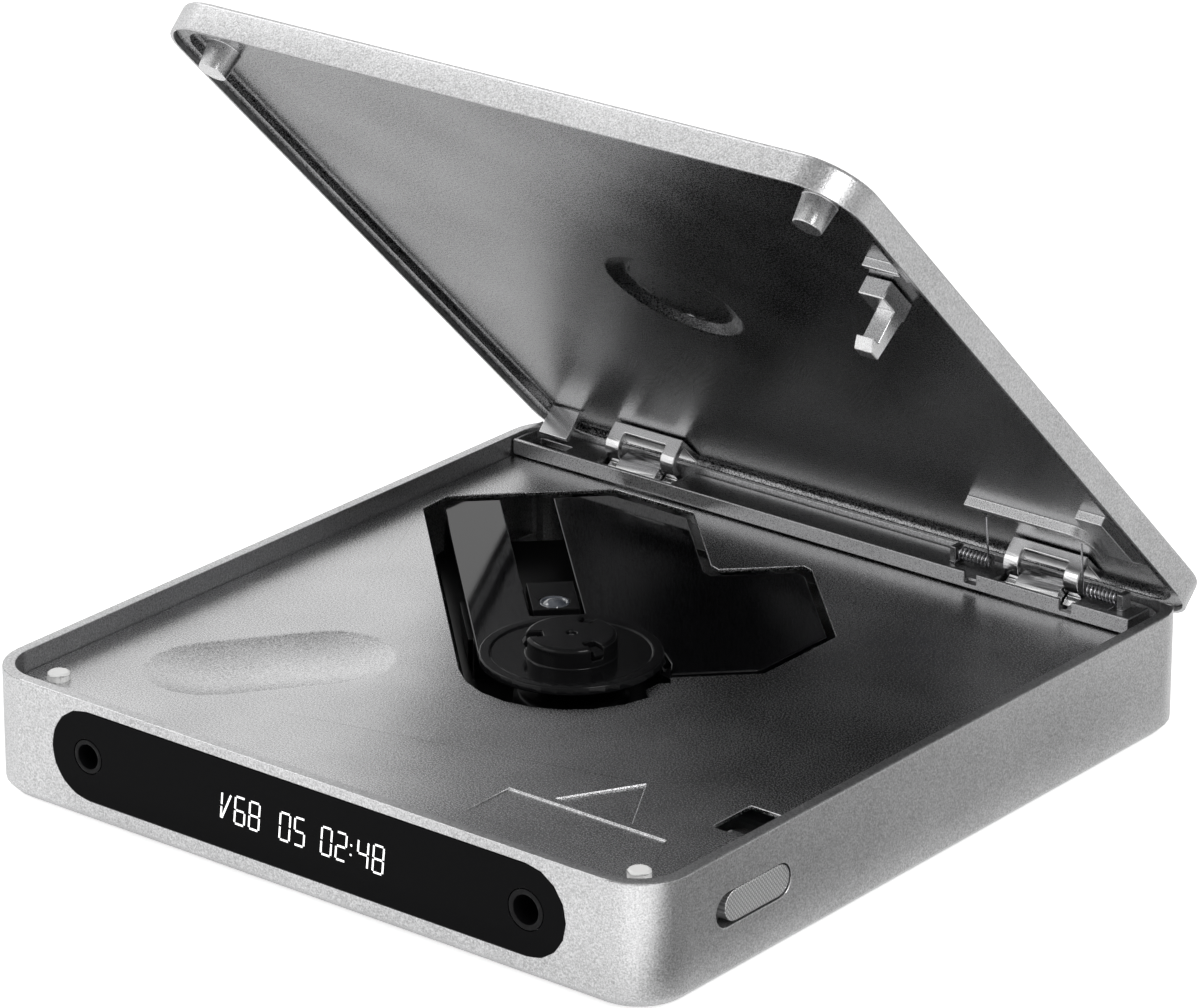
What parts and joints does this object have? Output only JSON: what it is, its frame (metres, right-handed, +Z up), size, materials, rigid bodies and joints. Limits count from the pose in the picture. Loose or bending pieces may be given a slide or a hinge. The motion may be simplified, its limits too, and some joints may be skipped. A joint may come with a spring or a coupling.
{
  "type": "portable CD player",
  "caption": "Slim square portable disc player with a hinged lid standing open, a round turntable, a pickup on rails and a long dark window along the front.",
  "frame": {"origin": "centre of the bounding box, with the lid open, at the undersides of the feet", "axes": "+X to the right along the front, +Y back towards the hinge, +Z up"},
  "size_m": [0.1376, 0.1494, 0.122],
  "materials": {
    "satin_aluminium": "bead-blasted and anodised",
    "bright_steel": "bright",
    "spring_steel": "drawn wire",
    "gloss_black": "polished",
    "matte_black": "moulded",
    "white_rubber": "moulded",
    "black_rubber": "moulded",
    "display_glass": "polished",
    "board_green": "laminate",
    "battery_foil": "foil wrap",
    "lens_glass": "coated",
    "brass": "turned"
  },
  "bodies": {
    "base": {"base_housing": "satin_aluminium", "bottom_cover": "satin_aluminium", "cover_screw_1": "bright_steel", "cover_screw_2": "bright_steel", "cover_screw_3": "bright_steel", "cover_screw_4": "bright_steel", "foot_1": "black_rubber", "foot_2": "black_rubber", "foot_3": "black_rubber", "foot_4": "black_rubber", "deck_plate": "satin_aluminium", "bumper_left": "white_rubber", "bumper_right": "white_rubber", "hinge_bar": "satin_aluminium", "hinge_barrel_left": "bright_steel", "hinge_barrel_right": "bright_steel", "hinge_pin_left": "bright_steel", "hinge_pin_right": "bright_steel", "lid_spring_left": "spring_steel", "lid_spring_right": "spring_steel", "latch_spring": "spring_steel", "front_window": "gloss_black", "display_module": "display_glass", "headphone_jack_small": "matte_black", "headphone_jack_large": "matte_black", "usb_socket": "bright_steel", "main_board": "board_green", "battery_pack": "battery_foil", "mech_chassis": "matte_black", "mech_cover": "gloss_black", "chassis_damper_1": "black_rubber", "chassis_damper_2": "black_rubber", "chassis_damper_3": "black_rubber", "spindle_motor": "bright_steel", "sled_motor": "bright_steel", "guide_rod_near": "bright_steel", "guide_rod_far": "bright_steel"},
    "lid": {"lid_shell": "satin_aluminium", "lid_liner": "satin_aluminium", "latch_hook": "satin_aluminium", "lid_stop": "bright_steel", "hinge_bracket_left": "bright_steel", "hinge_bracket_right": "bright_steel"},
    "latch": {"latch_slider": "satin_aluminium", "latch_bolt": "bright_steel"},
    "spindle": {"turntable": "matte_black", "spindle_shaft": "bright_steel"},
    "claw_1": {"disc_claw_1": "matte_black"},
    "claw_2": {"disc_claw_2": "matte_black"},
    "claw_3": {"disc_claw_3": "matte_black"},
    "sled": {"pickup_sled": "matte_black"},
    "lens": {"lens_holder": "matte_black", "pickup_lens": "lens_glass"},
    "lead_screw": {"lead_screw": "brass"},
    "volume_down_button": {"volume_down_button": "satin_aluminium"},
    "volume_up_button": {"volume_up_button": "satin_aluminium"},
    "previous_button": {"previous_button": "satin_aluminium"},
    "play_button": {"play_button": "satin_aluminium"},
    "next_button": {"next_button": "satin_aluminium"}
  },
  "joints": [
    {"name": "lid_hinge", "type": "hinge", "parent": "base", "child": "lid", "pos_m": [0.00025, 0.06431, 0.01672], "axis": [1, 0, 0], "range_deg": [0, 45], "stiffness_Nm_per_rad": 0.09, "springref_deg": -60.16, "deforming": ["lid_spring_left", "lid_spring_right"]},
    {"name": "latch_slide", "type": "slide", "parent": "base", "child": "latch", "axis": [0, -1, 0], "range_m": [0, 0.0022], "stiffness_N_per_m": 150, "springref_m": -0.004, "deforming": ["latch_spring"]},
    {"name": "spindle_spin", "type": "hinge", "parent": "base", "child": "spindle", "pos_m": [0.00025, -0.00854, 0.02], "axis": [0, 0, 1], "continuous": true},
    {"name": "sled_slide", "type": "slide", "parent": "base", "child": "sled", "axis": [-0.7071, 0.7071, 0], "range_m": [-0.001, 0.031]},
    {"name": "lead_screw_turn", "type": "hinge", "parent": "base", "child": "lead_screw", "pos_m": [-0.00823, 0.0254, 0.0128], "axis": [-0.7071, 0.7071, 0], "range_deg": [-120, 3720]},
    {"name": "lens_focus", "type": "slide", "parent": "sled", "child": "lens", "axis": [0, 0, 1], "range_m": [-0.0003, 0.0003], "stiffness_N_per_m": 60},
    {"name": "claw_1_slide", "type": "slide", "parent": "spindle", "child": "claw_1", "axis": [0.2419, -0.9703, 0], "range_m": [0, 0.0006], "stiffness_N_per_m": 200, "springref_m": -0.0005},
    {"name": "claw_2_slide", "type": "slide", "parent": "spindle", "child": "claw_2", "axis": [0.7193, 0.6947, 0], "range_m": [0, 0.0006], "stiffness_N_per_m": 200, "springref_m": -0.0005},
    {"name": "claw_3_slide", "type": "slide", "parent": "spindle", "child": "claw_3", "axis": [-0.9613, 0.2756, 0], "range_m": [0, 0.0006], "stiffness_N_per_m": 200, "springref_m": -0.0005},
    {"name": "volume_down_button_press", "type": "slide", "parent": "base", "child": "volume_down_button", "axis": [1, 0, 0], "range_m": [0, 0.0005], "stiffness_N_per_m": 300, "springref_m": -0.0005},
    {"name": "volume_up_button_press", "type": "slide", "parent": "base", "child": "volume_up_button", "axis": [1, 0, 0], "range_m": [0, 0.0005], "stiffness_N_per_m": 300, "springref_m": -0.0005},
    {"name": "previous_button_press", "type": "slide", "parent": "base", "child": "previous_button", "axis": [1, 0, 0], "range_m": [0, 0.0005], "stiffness_N_per_m": 300, "springref_m": -0.0005},
    {"name": "play_button_press", "type": "slide", "parent": "base", "child": "play_button", "axis": [1, 0, 0], "range_m": [0, 0.0005], "stiffness_N_per_m": 300, "springref_m": -0.0005},
    {"name": "next_button_press", "type": "slide", "parent": "base", "child": "next_button", "axis": [1, 0, 0], "range_m": [0, 0.0005], "stiffness_N_per_m": 300, "springref_m": -0.0005}
  ],
  "couplings": [
    {"joint": "lead_screw_turn", "follows": "sled_slide", "rad_per_m": 2094.4}
  ]
}
